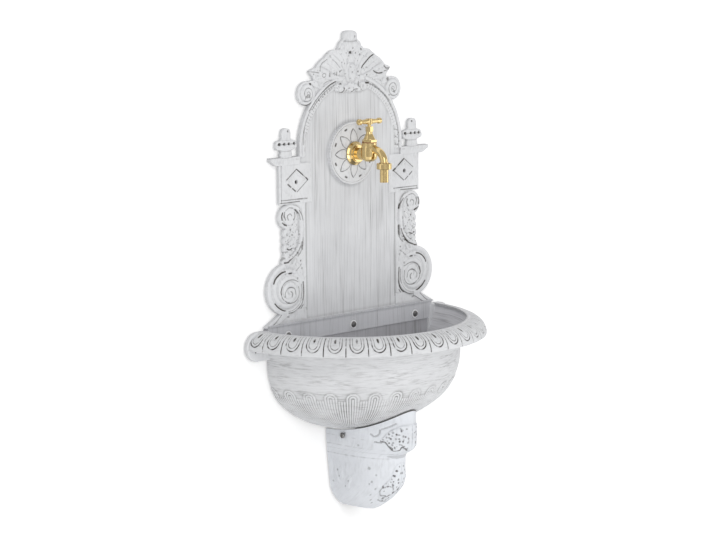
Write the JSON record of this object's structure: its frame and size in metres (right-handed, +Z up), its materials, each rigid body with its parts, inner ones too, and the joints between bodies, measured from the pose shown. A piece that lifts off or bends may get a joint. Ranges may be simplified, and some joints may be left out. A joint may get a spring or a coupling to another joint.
{
  "type": "wall fountain",
  "caption": "Wall-hung garden fountain: ornate cast back panel with a brass hose tap over a half-round basin, carried on a hollow console that hides the waste.",
  "frame": {"origin": "midway between the two wall screw holes, on the wall plane", "axes": "+X to the right as seen from the front, +Y into the wall, so the front faces -Y, and +Z up"},
  "size_m": [0.454, 0.2235, 0.775],
  "materials": {
    "painted_casting": "antique white paint, brushed over with a thin grey-brown patina",
    "painted_basin": "antique white paint, brushed over with a thin grey-brown patina",
    "painted_console": "antique white paint, brushed over with a thin grey-brown patina",
    "screw_steel": "plain",
    "tap_brass": "polished",
    "spindle_brass": "machined",
    "fibre": "matt",
    "packing": "matt",
    "seal_rubber": "matt",
    "waste_metal": "satin",
    "waste_plastic": "matt"
  },
  "bodies": {
    "fountain": {"back_panel": "painted_casting", "basin_back": "painted_basin", "basin_rim": "painted_basin", "basin_bowl": "painted_basin", "console": "painted_console", "panel_screws": "screw_steel", "panel_washers": "screw_steel", "console_screws": "screw_steel", "tap_body": "tap_brass", "tap_escutcheon": "tap_brass", "tap_backnut": "tap_brass", "tap_back_washer": "fibre", "tap_bonnet": "tap_brass", "bonnet_washer": "fibre", "gland_nut": "tap_brass", "gland_packing": "packing", "hose_union_nut": "tap_brass", "hose_nozzle": "tap_brass", "nozzle_washer": "seal_rubber", "waste_fitting": "waste_metal", "waste_gasket": "seal_rubber", "waste_washer": "seal_rubber", "waste_locknut": "waste_plastic"},
    "valve": {"jumper_valve": "spindle_brass", "valve_washer": "seal_rubber", "washer_nut": "spindle_brass"},
    "handle": {"spindle": "spindle_brass", "tap_handle": "tap_brass", "handle_screw": "spindle_brass"}
  },
  "joints": [
    {"name": "valve_lift", "type": "slide", "parent": "fountain", "child": "valve", "axis": [0, 0, 1], "range_m": [0, 0.00508]},
    {"name": "handle_turn", "type": "hinge", "parent": "valve", "child": "handle", "pos_m": [0, -0.0485, 0.08], "axis": [0, 0, 1], "range_deg": [0, 720]}
  ],
  "couplings": [
    {"joint": "handle_turn", "follows": "valve_lift", "rad_per_m": 2473}
  ]
}
